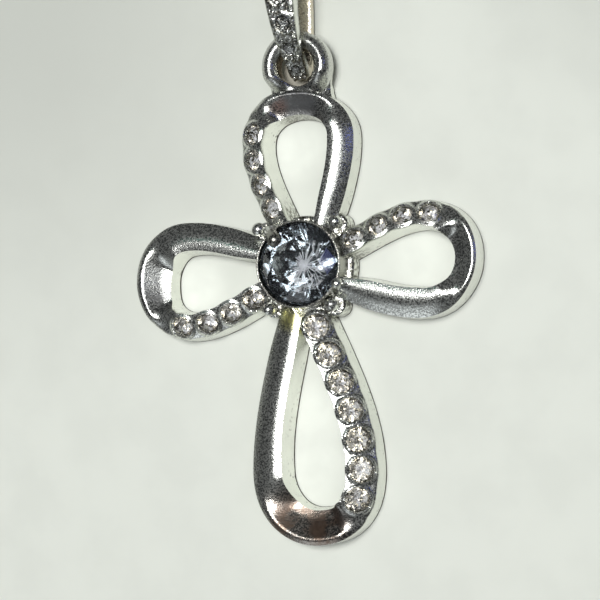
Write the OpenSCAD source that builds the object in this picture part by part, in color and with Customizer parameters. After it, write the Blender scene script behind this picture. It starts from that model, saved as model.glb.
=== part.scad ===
// Cross pendant: four cast ribbon loops round a big faceted stone, hung on a teardrop bail.
// It lies face up. The origin is on its flat back, under the centre stone, and +Y runs towards the bail.

/* [Arms] */
// Reach of the upper loop from the centre to the middle of its bend
upper_reach = 10.15; // [9:0.05:12]
// Reach of the right loop
right_reach = 10.3; // [9:0.05:12]
// Reach of the left loop
left_reach = 10.1; // [9:0.05:12]
// Reach of the lower loop
lower_reach = 16.15; // [13:0.05:19]
// Half the width of a short loop, to the middle of its strands
short_half_w = 2.8; // [2.5:0.05:3.1]
// Half the width of the lower loop, to the middle of its strands
long_half_w = 3.1; // [2.7:0.05:3.6]
// How far the left loop droops below level
left_droop = 4.5; // [0:0.5:8]

/* [Strands] */
// Width of a short loop's strand
short_strand_w = 1.65; // [1.5:0.05:1.9]
// Width of the lower loop's strand
long_strand_w = 1.95; // [1.8:0.05:2.3]
// Height of a polished strand's inner wall
plain_inner_h = 1.95; // [1.7:0.05:2.2]
// Height of a polished strand's outer wall
plain_outer_h = 1.4; // [1.2:0.05:1.7]
// Rise of the polished dome above the line between its walls
dome_rise = 0.5; // [0.3:0.02:0.7]
// Height of a stone set face at its inner edge
face_inner_h = 2.35; // [2.1:0.05:2.6]
// Height of a stone set face at its outer edge
face_outer_h = 1.55; // [1.45:0.05:1.9]
// How much the inner walls spread from top to foot
inner_draft = 0.18; // [0:0.02:0.24]
// How much the outer walls spread from top to foot
outer_draft = 0.06; // [0:0.02:0.24]
// How deep a strand is waisted between two stones
scallop = 0.16; // [0:0.02:0.24]

/* [Small stones] */
// Diameter of the stones in the short loops
short_stone_d = 1.3; // [1.1:0.05:1.4]
// Diameter of the stones in the lower loop
long_stone_d = 1.5; // [1.2:0.05:1.6]
// How far a stone's girdle lies below the face
stone_sink = 0.1; // [0.05:0.01:0.2]
// Gap between a stone and its seat
seat_gap = 0.06; // [0.03:0.01:0.1]

/* [Centre] */
// Diameter of the centre stone
centre_d = 5.05; // [4.6:0.05:5.4]
// Thickness of the cup's rim
rim_t = 0.14; // [0.1:0.02:0.24]
// Height of the cup's rim
cup_h = 2.9; // [2.7:0.05:3.2]
// Radius of a corner ball
ball_r = 0.43; // [0.35:0.01:0.5]

/* [Ring] */
// How far the ring's middle lies above the middle of the upper loop's bend
ring_rise = 2.25; // [2.1:0.05:2.4]
// How far the ring stands to the right of the centre
ring_x = 0.22; // [0:0.02:0.3]
// Radius of the ring's hole
ring_hole_r = 1.2; // [1.1:0.05:1.3]
// Width of the ring's band
ring_w = 1; // [0.8:0.05:1.1]
// Height of the ring's underside
ring_z = 0.95; // [0.9:0.05:1.1]
// Thickness of the ring
ring_t = 1.4; // [1.2:0.05:1.5]

/* [Bail] */
// Length of the bail
bail_len = 9.6; // [9:0.1:11]
// Depth of the bail from its back leg to its front
bail_depth = 5.2; // [5:0.1:6]
// Width of the bail at its shoulder
bail_w = 2; // [1.7:0.05:2.2]
// Thickness of the bail's front
bail_t = 1.15; // [1:0.05:1.3]
// How far the bail's tip lies below the ring's middle
bail_drop = 0.68; // [0.6:0.02:0.76]
// How far the bail lies to the right of the ring's middle
bail_shift = 0.05; // [0:0.05:0.15]

/* [Hidden] */

// The arm table. Widths are shares of the strand's width, and widest places shares of the reach.
ARM_COLUMNS = [
    "turn", "reach", "half w", "strand w", "root set", "root plain", "wide set", "wide plain", "full set",
    "bend", "plain", "stones",
    "stone d", "first", "pitch", "side set", "side plain"
];
ARMS = [
    [90, upper_reach, short_half_w, short_strand_w, 0.42, 0.5, 0.74, 0.78, 2.3, 0.92, 0.95, 4,
        short_stone_d, 1.25, 1.27, 1.05, 1.03],
    [-0.5, right_reach, short_half_w, short_strand_w, 0.3, 0.52, 0.73, 0.74, 2.05, 0.84, 1.12, 4,
        short_stone_d, 1.05, 1.3, 0.96, 1],
    [180 + left_droop, left_reach, short_half_w, short_strand_w, 0.42, 0.4, 0.75, 0.76, 2.2, 1.27, 1.07, 4,
        short_stone_d, 1.1, 1.3, 0.98, 1.04],
    [270, lower_reach, long_half_w, long_strand_w, 0.02, 0.23, 0.765, 0.79, 2.45, 1.08, 0.97, 7,
        long_stone_d, 1.22, 1.238, 1, 0.965]
];
ARM_NAMES = ["upper", "right", "left", "lower"];
function arm(k, column) = ARMS[k][search([column], ARM_COLUMNS)[0]];
cup_r = centre_d / 2 + seat_gap + rim_t;
ring_y = upper_reach + ring_rise;
bail_tip_y = ring_y - bail_drop;
root_sink = 0.6;
root_r = cup_r - root_sink;
root_share = 0.72;
set_root_share = 0.95;
// Shape of a side's curve: how full a polished bend is, how steep the side leaves the root,
// and the reach of its two handles
full_plain = 2;
side_lead = 1.25;
lead_share = 0.35;
trail_share = 0.33;
side_steps = 24;
end_steps = 18;
set_stations_per_stone = 6;
plain_stations = 22;
joint_len = 0.3;
joint_inset = 0.2;
dome_steps = 6;
face_rise = 0.04;
face_end = 0.3;
blend_len = 1.3;

// Proportions of a round cut, as shares of its diameter
TABLE_SHARE = 0.6;
CROWN_SHARE = 0.15;
GIRDLE_SHARE = 0.04;
PAVILION_SHARE = 0.4;
facets = 8;

function polar(r, a) = [r * cos(a), r * sin(a)];
function mix(a, b, t) = a + (b - a) * t;
function ease(t) = let (c = max(0, min(1, t))) c * c * (3 - 2 * c);
function bezier(a, b, c, d, t) =
    a * pow(1 - t, 3) + 3 * b * pow(1 - t, 2) * t + 3 * c * (1 - t) * t * t + d * pow(t, 3);
function reversed(list) = [for (i = [len(list) - 1:-1:0]) list[i]];

// One side of a loop, from its root to the middle of the bend, as [along, across]
function side_path(k, side, root, wide, full) =
    let (
        half = side * arm(k, "half w"),
        start = [root_r, root * half],
        widest = [arm(k, "reach") * wide, half],
        run = widest.x - start.x,
        slope = side_lead * (widest.y - start.y) / run,
        lead = start + run * lead_share * [1, slope],
        trail = widest - [run * trail_share, 0],
        end_len = arm(k, "reach") - widest.x
    )
    concat(
        [for (i = [0:side_steps - 1]) bezier(start, lead, trail, widest, i / side_steps)],
        [for (i = [0:end_steps])
            let (a = 90 * i / end_steps)
            widest + [end_len * pow(sin(a), 2 / full), half * (pow(cos(a), 2 / full) - 1)]]
    );

// The whole loop, from the root of its stone set strand round to the root of its polished one
function loop_path(k) =
    let (
        set = side_path(k, arm(k, "side set"), arm(k, "root set"), arm(k, "wide set"), arm(k, "full set")),
        plain = side_path(k, arm(k, "side plain"), arm(k, "root plain"), arm(k, "wide plain"), full_plain),
        back = reversed([for (p = plain) [p.x, -p.y]])
    )
    concat(set, [for (i = [1:len(back) - 1]) back[i]]);

function distances(path, i = 1, done = [0]) =
    i >= len(path)
        ? done
        : distances(path, i + 1, concat(done, [done[i - 1] + norm(path[i] - path[i - 1])]));

// Lookup tables of a loop: along and across by distance, then its length
function measured(path) =
    let (d = distances(path))
    [
        [for (i = [0:len(path) - 1]) [d[i], path[i].x]],
        [for (i = [0:len(path) - 1]) [d[i], path[i].y]],
        d[len(d) - 1]
    ];
PATHS = [for (k = [0:len(ARMS) - 1]) measured(loop_path(k))];

// Half the distance over which a line's heading is taken
heading_step = 0.15;
function spot(k, d) = [lookup(d, PATHS[k][0]), lookup(d, PATHS[k][1])];
function heading(k, d) =
    let (v = spot(k, min(d + heading_step, PATHS[k][2])) - spot(k, max(d - heading_step, 0)))
    v / norm(v);
function first_stone(k) = arm(k, "first") * arm(k, "stone d");
function stone_pitch(k) = arm(k, "pitch") * arm(k, "stone d");
function stone_way(k, i) = first_stone(k) + i * stone_pitch(k);
function set_end(k) = stone_way(k, arm(k, "stones") - 1) + arm(k, "stone d") / 2 + face_end;

// How far a strand is stone set at a distance d: 1 on the flat face, 0 where it is domed
function set_share(k, d) = 1 - ease((d - set_end(k)) / blend_len);

// Width of a strand by its share of the way round
function strand_width(k, d) =
    let (
        all = PATHS[k][2],
        bend = arm(k, "bend"),
        plain = arm(k, "plain"),
        set_part = [[0, set_root_share], [0.4, 1]],
        bend_part = [[0.5, bend], [0.6, bend]],
        plain_part = [[0.74, plain], [0.9, plain * set_root_share], [1, root_share]],
        share = lookup(d / all, concat(set_part, bend_part, plain_part))
    )
    arm(k, "strand w") * share;

// How much the face is waisted between the stones. The foot runs on smoothly.
function waist(k, d) =
    d > set_end(k) ? 0 : scallop * (1 - cos(360 * (d - first_stone(k)) / stone_pitch(k))) / 2;

// Upright section of a strand, inner foot first, as [outward, height], drawn in by an inset
function section(k, d, inset = 0) =
    let (
        foot = strand_width(k, d) / 2 - inset,
        half = foot - waist(k, d) / 2,
        set = set_share(k, d),
        inner = mix(plain_inner_h, face_inner_h, set) - inset,
        outer = mix(plain_outer_h, face_outer_h, set) - inset,
        rise = mix(dome_rise, face_rise, set)
    )
    concat(
        [[-foot - inner_draft, 0]],
        [for (i = [0:dome_steps])
            let (a = 180 * i / dome_steps)
            [-half * cos(a), mix(inner, outer, (1 - cos(a)) / 2) + rise * sin(a)]],
        [[foot + outer_draft, 0]]
    );

// Points of one station: the section set across the path
function station(k, d, inset = 0) =
    let (p = spot(k, d), t = heading(k, d), out = [-t.y, t.x])
    [for (q = section(k, d, inset)) [p.x + q.x * out.x, p.y + q.x * out.y, q.y]];

// A solid swept through rings of points that all turn the same way
module swept(rings, closed = false) {
    m = len(rings[0]);
    n = len(rings);
    last = closed ? n - 1 : n - 2;
    sides = [for (i = [0:last]) for (j = [0:m - 1])
        let (
            a = i * m + j,
            b = i * m + (j + 1) % m,
            c = ((i + 1) % n) * m + (j + 1) % m,
            d = ((i + 1) % n) * m + j
        )
        each [[a, b, c], [a, c, d]]];
    caps = closed ? [] : [
        [for (j = [m - 1:-1:0]) j],
        [for (j = [0:m - 1]) (n - 1) * m + j]
    ];
    polyhedron(points = [for (r = rings) each r], faces = concat(sides, caps), convexity = 8);
}

// Both strands of a loop. They meet in the middle of the bend, where the stone set one runs on
// just inside the polished one.
module loop(k) {
    all = PATHS[k][2];
    middle = all / 2;
    set_n = ceil(middle / stone_pitch(k) * set_stations_per_stone);
    swept([
        each [for (i = [0:set_n - 1]) station(k, middle * i / set_n)],
        station(k, middle),
        station(k, middle + joint_len, joint_inset)
    ]);
    swept([for (i = [0:plain_stations]) station(k, middle + (all - middle) * i / plain_stations)]);
}

// Round cut stone, its girdle's top at height 0
module cut_stone(d, steps = 2 * facets) {
    r = d / 2;
    girdle = GIRDLE_SHARE * d;
    table = [for (i = [0:facets - 1])
        [each polar(TABLE_SHARE * r, 360 * (i + 0.5) / facets), CROWN_SHARE * d]];
    edge = [for (i = [0:steps - 1]) [each polar(r, 360 * i / steps), 0]];
    low = [for (p = edge) [p.x, p.y, -girdle]];
    culet = [[0, 0, -girdle - PAVILION_SHARE * d]];
    e = facets;
    l = e + steps;
    c = l + steps;
    polyhedron(
        points = concat(table, edge, low, culet),
        faces = concat(
            [[for (i = [facets - 1:-1:0]) i]],
            [for (i = [0:facets - 1])
                let (a = i, b = (i + 1) % facets, m = (2 * i + 1) % steps, q = (2 * i + 2) % steps)
                each [[a, e + m, e + 2 * i], [a, e + q, e + m], [a, b, e + q]]],
            [for (i = [0:steps - 1])
                let (j = (i + 1) % steps)
                each [[e + i, e + j, l + j], [e + i, l + j, l + i], [l + i, l + j, c]]]
        ),
        convexity = 4
    );
}

// Space of a stone and of its way in, wider all round by the seat's gap
module seat(d, way_in, sides = 2 * facets) {
    r = d / 2 + seat_gap;
    low = GIRDLE_SHARE * d + seat_gap;
    rotate([0, 0, 180 / sides])
        rotate_extrude($fn = sides)
            polygon([[0, -low - PAVILION_SHARE * d - seat_gap], [r / cos(180 / sides), -low],
                [r / cos(180 / sides), way_in], [0, way_in]]);
}

// Sets its children on the face of loop k at stone i, upright to the face
module on_face(k, i) {
    d = stone_way(k, i);
    p = spot(k, d);
    t = heading(k, d);
    width = strand_width(k, d);
    lean = atan((face_inner_h - face_outer_h) / width);
    rotate([0, 0, arm(k, "turn")])
        translate([p.x, p.y, (face_inner_h + face_outer_h) / 2])
            rotate([0, 0, atan2(t.y, t.x)])
                rotate([-lean, 0, 0])
                    translate([0, 0, -stone_sink]) children();
}

// Corner balls of the cup: angle, distance and the distance of their posts, as shares of the cup's radius
BALL_COLUMNS = ["turn", "far", "post"];
BALLS = [[47, 1.24, 1.2], [138, 1.31, 1.2], [229.5, 1.27, 1.2], [305, 1.16, 1.16]];
post_r = ball_r * 1.6;
brace_r = post_r * 1.6;
post_h = plain_outer_h * 1.08;
stem_r = ball_r * 0.8;
ball_z = cup_h * 0.76;

// Claws over the cup's rim: angle, distance of the bead as a share of the cup's radius,
// and its size as a share of a ball's
CLAW_COLUMNS = ["turn", "far", "size"];
CLAWS = [[130, 0.74, 1.12], [-29, 1.06, 0.8]];
claw_z = cup_h + CROWN_SHARE * centre_d * 0.35;

rim_drop = 0.22;
stone_z = cup_h - rim_drop;
web_r = cup_r * 1.14;
web_h = plain_outer_h * 0.9;
ball_sides = 12;
post_sides = 16;
round_sides = 40;

function ball(row, column) = BALLS[row][search([column], BALL_COLUMNS)[0]];
function claw_of(row, column) = CLAWS[row][search([column], CLAW_COLUMNS)[0]];

module at_polar(r, a, z = 0) {
    translate([each polar(r, a), z]) children();
}

// Post and ball at a corner between two loops
module corner(row) {
    turn = ball(row, "turn");
    ball_far = ball(row, "far") * cup_r;
    post_far = ball(row, "post") * cup_r;
    hull() {
        at_polar(post_far, turn) cylinder(r = post_r, h = post_h, $fn = post_sides);
        at_polar(cup_r / 2, turn) cylinder(r = brace_r, h = post_h, $fn = post_sides);
    }
    hull() {
        at_polar(ball_far, turn, ball_z) sphere(ball_r, $fn = ball_sides);
        at_polar(post_far, turn, post_h / 2) sphere(stem_r, $fn = ball_sides);
    }
}

module claw(row) {
    turn = claw_of(row, "turn");
    bead_r = claw_of(row, "size") * ball_r;
    hull() {
        at_polar(claw_of(row, "far") * cup_r, turn, claw_z) sphere(bead_r, $fn = ball_sides);
        at_polar(cup_r, turn, cup_h - bead_r) sphere(bead_r, $fn = ball_sides);
    }
}

// The ring is flat below and domed above
ring_rise_share = 0.42;
ring_wall = ring_t * (1 - ring_rise_share);
module ring() {
    translate([ring_x, ring_y, ring_z])
        rotate_extrude($fn = round_sides)
            polygon(concat(
                [[ring_hole_r, 0], [ring_hole_r + ring_w, 0]],
                [for (i = [0:dome_steps])
                    let (a = 180 * i / dome_steps)
                    [ring_hole_r + ring_w / 2 * (1 + cos(a)), ring_wall + ring_rise_share * ring_t * sin(a)]]
            ));
}

// Fillet between the ring and the top of the upper loop, seen in a frame where it is on the right.
// Its hollow side is an arc that touches both outlines, and its other side lies inside the metal.
neck_r = 1.5;
neck_sink = 0.25;
neck_drop = 0.06;
neck_steps = 8;
loop_top = upper_reach + short_strand_w / 2;
loop_r = short_half_w + short_strand_w / 3;

// Middle of a circle of radius r that touches the circles round a and b from outside, on the right
function touching(a, ra, b, rb, r) =
    let (
        gap = norm(b - a),
        to_b = (b - a) / gap,
        along = (pow(ra + r, 2) - pow(rb + r, 2) + gap * gap) / (2 * gap),
        off = sqrt(pow(ra + r, 2) - along * along)
    )
    a + along * to_b + off * [to_b.y, -to_b.x];

module ring_neck(shift) {
    ring_c = [shift, ring_y];
    loop_c = [0, loop_top - loop_r];
    ring_out = ring_hole_r + ring_w;
    c = touching(loop_c, loop_r, ring_c, ring_out, neck_r);
    from = c + neck_r * (ring_c - c) / norm(ring_c - c);
    to = c + neck_r * (loop_c - c) / norm(loop_c - c);
    crease = touching(loop_c, loop_r, ring_c, ring_out, 0);
    deep = [
        mix(from, ring_c, neck_sink),
        mix(crease, [shift / 2, crease.y], neck_sink),
        mix(to, loop_c, neck_sink / 2)
    ];
    swept([for (i = [0:neck_steps])
        let (
            t = i / neck_steps,
            way = mix(from, to, t) - c,
            p = c + neck_r * way / norm(way),
            q = t < 0.5 ? mix(deep[0], deep[1], 2 * t) : mix(deep[1], deep[2], 2 * t - 1),
            low = mix(ring_z, 0, ease(2 * t)),
            high = mix(ring_z + ring_wall, plain_outer_h, t) - neck_drop
        )
        [[p.x, p.y, low], [q.x, q.y, low], [q.x, q.y, high], [p.x, p.y, high]]]);
}

module cross_casting() {
    color("silver")
        difference() {
            union() {
                for (k = [0:3]) rotate([0, 0, arm(k, "turn")]) loop(k);
                cylinder(r = web_r, h = web_h, $fn = round_sides);
                cylinder(r = cup_r, h = cup_h, $fn = round_sides);
                for (i = [0:len(BALLS) - 1]) corner(i);
                for (i = [0:len(CLAWS) - 1]) claw(i);
                ring();
                ring_neck(ring_x);
                mirror([1, 0, 0]) ring_neck(-ring_x);
            }
            centre_seat();
            for (k = [0:3]) for (i = [0:arm(k, "stones") - 1])
                on_face(k, i) seat(arm(k, "stone d"), face_inner_h);
        }
}

// The centre stone's space. Its mouth follows the crown, so that a claw may lap over the edge.
module centre_seat() {
    r = centre_d / 2 + seat_gap;
    table_r = TABLE_SHARE * centre_d / 2;
    crown = CROWN_SHARE * centre_d;
    low = GIRDLE_SHARE * centre_d + seat_gap;
    translate([0, 0, stone_z])
        rotate_extrude($fn = round_sides)
            polygon([
                [0, -low - PAVILION_SHARE * centre_d - seat_gap], [r, -low], [r, seat_gap * 2],
                [table_r + seat_gap, crown + seat_gap * 2], [table_r + seat_gap, crown * 3], [0, crown * 3]
            ]);
}

// Outer line of the bail, from its tip over the front and back along the leg that lies on the ground.
// Along and high are shares of its length and depth, thick of its front's thickness
// and wide of its shoulder's width.
ALONG = 0;
HIGH = 1;
THICK = 2;
WIDE = 3;
BAIL_LINE = [
    [0, 0.26, 0.74, 0.6],
    [0.085, 0.46, 0.7, 0.62],
    [0.2, 0.68, 0.7, 0.75],
    [0.355, 0.84, 0.84, 0.87],
    [0.53, 0.925, 1, 0.98],
    [0.73, 1, 1, 1],
    [0.9, 0.88, 0.95, 0.97],
    [1, 0.56, 0.85, 0.92],
    [0.92, 0.18, 0.72, 0.88],
    [0.76, 0, 0.65, 0.85],
    [0.45, 0, 0.65, 0.78],
    [0.17, 0, 0.65, 0.66],
    [0.045, 0.08, 0.7, 0.6]
];
bail_steps = 4;
bail_stones = 6;
bail_first = 0.75;
bail_pitch_share = 0.85;
bail_stone_share = 0.66;
bail_edge = 0.14;
grain_r = 0.15;

function through(a, b, c, d, t) =
    0.5 * (2 * b + (c - a) * t + (2 * a - 5 * b + 4 * c - d) * t * t + (3 * b - a - 3 * c + d) * pow(t, 3));
function bail_row(i) =
    let (r = BAIL_LINE[(i + len(BAIL_LINE)) % len(BAIL_LINE)])
    [r[ALONG] * bail_len, r[HIGH] * bail_depth, r[THICK] * bail_t, r[WIDE] * bail_w];
BAIL_PATH = [for (i = [0:len(BAIL_LINE) - 1]) for (j = [0:bail_steps - 1])
    let (p = through(bail_row(i - 1), bail_row(i), bail_row(i + 1), bail_row(i + 2), j / bail_steps))
    [p[ALONG], max(0, p[HIGH]), p[THICK], p[WIDE]]];
BAIL_WAY = distances([for (p = BAIL_PATH) [p[ALONG], p[HIGH]]]);
function bail_at(d) =
    [for (c = [ALONG:WIDE]) lookup(d, [for (i = [0:len(BAIL_PATH) - 1]) [BAIL_WAY[i], BAIL_PATH[i][c]]])];
function bail_heading(d) =
    let (
        a = bail_at(max(0, d - heading_step)),
        b = bail_at(d + heading_step),
        v = [b[ALONG] - a[ALONG], b[HIGH] - a[HIGH]]
    )
    v / norm(v);
function bail_stone_way(i) = bail_first + i * bail_pitch_share * bail_w;
function bail_stone_d(i) = bail_stone_share * bail_at(bail_stone_way(i))[WIDE];

// Ring of points across the band at one station
function bail_station(i) =
    let (
        n = len(BAIL_PATH),
        p = BAIL_PATH[i],
        a = BAIL_PATH[(i + n - 1) % n],
        b = BAIL_PATH[(i + 1) % n],
        v = [b[ALONG] - a[ALONG], b[HIGH] - a[HIGH]],
        t = v / norm(v),
        half = p[WIDE] / 2,
        band = [
            [half, bail_edge], [half - bail_edge, 0], [bail_edge - half, 0], [-half, bail_edge],
            [-half, p[THICK] - bail_edge], [bail_edge - half, p[THICK]],
            [half - bail_edge, p[THICK]], [half, p[THICK] - bail_edge]
        ]
    )
    [for (q = band) [ring_x + bail_shift + q.x, bail_tip_y + p[ALONG] + q.y * t.y, p[HIGH] - q.y * t.x]];

// Sets its children on the outer face of the bail at a distance d from its tip
module on_bail(d) {
    p = bail_at(d);
    t = bail_heading(d);
    translate([ring_x + bail_shift, bail_tip_y + p[ALONG], p[HIGH]])
        rotate([atan2(t.y, t.x), 0, 0]) children();
}

// Grain of metal between two stones, on side s
module grain(i, s) {
    d = (bail_stone_way(i) + bail_stone_way(i + 1)) / 2;
    half = bail_at(d)[WIDE] / 2;
    on_bail(d)
        hull() {
            translate([s * (half - grain_r * 1.3), 0, grain_r * 0.4]) sphere(grain_r, $fn = 8);
            translate([s * (half - grain_r * 1.6), 0, -grain_r]) sphere(grain_r, $fn = 8);
        }
}

module bail() {
    color("silver")
        difference() {
            union() {
                swept([for (i = [0:len(BAIL_PATH) - 1]) bail_station(i)], closed = true);
                for (i = [0:bail_stones - 2]) for (s = [-1, 1]) grain(i, s);
            }
            for (i = [0:bail_stones - 1])
                on_bail(bail_stone_way(i)) translate([0, 0, -stone_sink / 2]) seat(bail_stone_d(i), bail_t);
        }
}

module centre_stone() {
    color("slategray") translate([0, 0, stone_z]) cut_stone(centre_d);
}

module loop_stone(k, i) {
    color("lightsteelblue") on_face(k, i - 1) cut_stone(arm(k, "stone d"));
}

module bail_stone(i) {
    color("lightsteelblue")
        on_bail(bail_stone_way(i - 1)) translate([0, 0, -stone_sink / 2]) cut_stone(bail_stone_d(i - 1));
}

cross_casting();
bail();
centre_stone();
for (k = [0:3]) for (i = [1:arm(k, "stones")])
    loop_stone(k, i);
for (i = [1:bail_stones])
    bail_stone(i);
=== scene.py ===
"""Looks of a cross pendant: four cast ribbon loops round a big faceted stone, hung on a teardrop bail."""

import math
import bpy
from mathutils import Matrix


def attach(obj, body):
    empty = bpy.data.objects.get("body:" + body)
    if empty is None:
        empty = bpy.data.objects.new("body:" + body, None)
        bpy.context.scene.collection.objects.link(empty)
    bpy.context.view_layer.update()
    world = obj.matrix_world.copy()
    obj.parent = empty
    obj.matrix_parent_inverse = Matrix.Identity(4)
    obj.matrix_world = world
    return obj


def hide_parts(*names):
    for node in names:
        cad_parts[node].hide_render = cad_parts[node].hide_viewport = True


bl_info = {
    "name": "Cross pendant",
    "version": (1, 0, 0),
    "blender": (4, 5, 0),
    "location": "View3D > Sidebar > Pendant",
    "description": "Builds the cast metal, the cut stones and the stage of a cross pendant",
    "category": "Object",
}

import bmesh
import bpy
import numpy as np
from bpy.props import FloatProperty, FloatVectorProperty, PointerProperty
from mathutils import Matrix, Vector

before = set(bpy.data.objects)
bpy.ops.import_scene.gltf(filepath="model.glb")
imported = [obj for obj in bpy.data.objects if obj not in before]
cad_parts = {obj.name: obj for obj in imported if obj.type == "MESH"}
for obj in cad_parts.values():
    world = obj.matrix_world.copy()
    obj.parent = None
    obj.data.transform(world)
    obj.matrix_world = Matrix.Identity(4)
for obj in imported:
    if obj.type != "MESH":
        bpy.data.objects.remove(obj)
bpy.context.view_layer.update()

MM = 0.001


# Sizes and colours that a user would change

def length(name, mm, description):
    return FloatProperty(name=name, description=description, default=mm * MM, min=0, precision=5,
                         subtype="DISTANCE", unit="LENGTH")


def number(name, value, description):
    return FloatProperty(name=name, description=description, default=value)


def colour(name, value, description):
    return FloatVectorProperty(name=name, description=description, default=value, min=0, max=1, size=3,
                               subtype="COLOR")


class CastingSizes(bpy.types.PropertyGroup):
    upper_reach: length("Upper reach", 10.15, "From the centre to the middle of the upper loop's bend")
    right_reach: length("Right reach", 10.3, "Reach of the right loop")
    left_reach: length("Left reach", 10.1, "Reach of the left loop")
    lower_reach: length("Lower reach", 16.15, "Reach of the lower loop")
    short_half_w: length("Short half width", 2.8, "Half the width of a short loop")
    long_half_w: length("Long half width", 3.1, "Half the width of the lower loop")
    left_droop: number("Left droop", 4.5, "Degrees that the left loop droops below level")
    short_strand_w: length("Short strand", 1.65, "Width of a short loop's strand")
    long_strand_w: length("Long strand", 1.95, "Width of the lower loop's strand")
    plain_inner_h: length("Polished inner wall", 1.95, "Height of a polished strand's inner wall")
    plain_outer_h: length("Polished outer wall", 1.4, "Height of a polished strand's outer wall")
    dome_rise: length("Dome rise", 0.5, "Rise of the polished dome above the line between its walls")
    face_inner_h: length("Face inner edge", 2.35, "Height of a stone set face at its inner edge")
    face_outer_h: length("Face outer edge", 1.55, "Height of a stone set face at its outer edge")
    inner_draft: length("Inner draft", 0.18, "How much the inner walls spread from top to foot")
    outer_draft: length("Outer draft", 0.06, "How much the outer walls spread from top to foot")
    scallop: length("Scallop", 0.16, "How deep a strand is waisted between two stones")
    collar: length("Collar", 0.09, "Height of the soft collar round a small stone")
    cup_h: length("Cup height", 2.9, "Height of the cup's rim")
    rim_t: length("Rim", 0.14, "Thickness of the cup's rim")
    ball_r: length("Ball radius", 0.43, "Radius of a corner ball")
    ring_rise: length("Ring rise", 2.25, "From the middle of the upper loop's bend to the ring's middle")
    ring_x: length("Ring shift", 0.22, "How far the ring stands to the right of the centre")
    ring_hole_r: length("Ring hole", 1.2, "Radius of the ring's hole")
    ring_w: length("Ring band", 1.0, "Width of the ring's band")
    ring_z: length("Ring underside", 0.95, "Height of the ring's underside")
    ring_t: length("Ring thickness", 1.4, "Thickness of the ring")


class BailSizes(bpy.types.PropertyGroup):
    length: length("Length", 9.6, "Length of the bail")
    depth: length("Depth", 5.2, "Depth of the bail from its back leg to its front")
    width: length("Width", 2.0, "Width of the bail at its shoulder")
    thickness: length("Thickness", 1.15, "Thickness of the bail's front")
    drop: length("Drop", 0.68, "How far the bail's tip lies below the ring's middle")
    shift: length("Shift", 0.05, "How far the bail lies to the right of the ring's middle")


class StoneSizes(bpy.types.PropertyGroup):
    centre_d: length("Centre stone", 5.05, "Diameter of the centre stone")
    short_d: length("Short loops' stones", 1.3, "Diameter of the stones in the short loops")
    long_d: length("Lower loop's stones", 1.5, "Diameter of the stones in the lower loop")
    sink: length("Sink", 0.1, "How far a small stone's girdle lies below the face")
    seat_gap: length("Seat gap", 0.06, "Gap between a stone and its seat")


class Finishes(bpy.types.PropertyGroup):
    metal: colour("Metal", (0.8, 0.81, 0.755), "Colour of the cast white metal")
    # This colour serves both the dirt specks near the walls' foot and the painted contact shadow along it
    dirt_and_shadow: colour("Dirt and foot shadow", (0.035, 0.028, 0.02), "Colour of the dirt in creases and along the foot")
    # Painted shade that dims the bends' highlights
    dull: colour("Painted bend shade", (0.14, 0.14, 0.145), "Colour where a bend is dull with painted shade")
    # Brown of worn plating at the lower bend, laid on widely there as painted shade that dims the bend's
    # highlight
    warm: colour("Worn plating and painted shade", (0.2, 0.13, 0.09), "Colour where the plating is worn at the lower bend")
    stain: colour("Stain", (0.62, 0.58, 0.1), "Colour of the old stain below the centre stone")
    crystal: colour("Crystal", (0.98, 0.98, 1.0), "Colour of the small stones")
    centre: colour("Centre crystal", (0.93, 0.95, 0.97), "Colour of the centre stone")
    foil: colour("Foil", (0.66, 0.63, 0.54), "Colour of the foil behind a small stone")
    centre_foil: colour("Centre foil", (0.32, 0.345, 0.36), "Colour of the foil behind the centre stone")
    # Colour of pits, and of the painted shade round the centre stone's rim and on the upper bend's inner
    # faces
    pits_and_shade: colour("Pits and painted shade", (0.07, 0.062, 0.04), "Colour of the rough metal's pits and creases")
    red_wear: colour("Red wear", (0.3, 0.12, 0.08), "Colour of the worn spot at the upper loop's bend")
    paper: colour("Paper", (0.745, 0.77, 0.7), "Colour of the pale paper that the pendant lies on")


class StageSettings(bpy.types.PropertyGroup):
    turn: number("Camera turn", 18.5, "Degrees that the camera stands to the right of overhead")
    dip: number("Camera dip", 3.5, "Degrees that the camera stands below overhead")
    roll: number("Camera roll", 3.2, "Degrees that the camera is rolled")
    distance: length("Camera distance", 130, "From the camera to the centre of the cross")
    lens: number("Lens", 124.8, "Focal length for a frame 36 mm wide")
    shift_x: number("Shift across", -0.0208, "Shift of the frame across, as a share of its width")
    shift_y: number("Shift up", -0.0557, "Shift of the frame up, as a share of its width")
    key_distance: length("Key light distance", 320, "Distance of the overhead light")
    key_size: length("Key light size", 122, "Diameter of the overhead light")
    key_power: number("Key light power", 0.95, "Power of the overhead light in watts")
    world_level: number("Room level", 0.036, "Brightness of the dim room that the metal mirrors")


# Plain geometry helpers, in metres

SHARP_ANGLE = math.radians(40)
BALL_DETAIL = 3
DISC_SIDES = 40
DISC_EDGE = 0.18 * MM
DISC_EDGE_STEPS = 5


def mix(a, b, t):
    return a + (b - a) * t


def ease(t):
    c = np.clip(t, 0, 1)
    return c * c * (3 - 2 * c)


def bezier(a, b, c, d, t):
    return a * (1 - t) ** 3 + 3 * b * (1 - t) ** 2 * t + 3 * c * (1 - t) * t ** 2 + d * t ** 3


def polar(r, degrees):
    return np.array([r * math.cos(math.radians(degrees)), r * math.sin(math.radians(degrees))])


def raised(r, degrees, high):
    return np.append(polar(r, degrees), high)


def named(columns, rows):
    return [dict(zip(columns, row)) for row in rows]


def measured(line):
    return np.concatenate([[0], np.cumsum(np.linalg.norm(np.diff(line, axis=0), axis=1))])


def along(way, line, d):
    return np.column_stack([np.interp(d, way, line[:, i]) for i in range(line.shape[1])])


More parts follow.
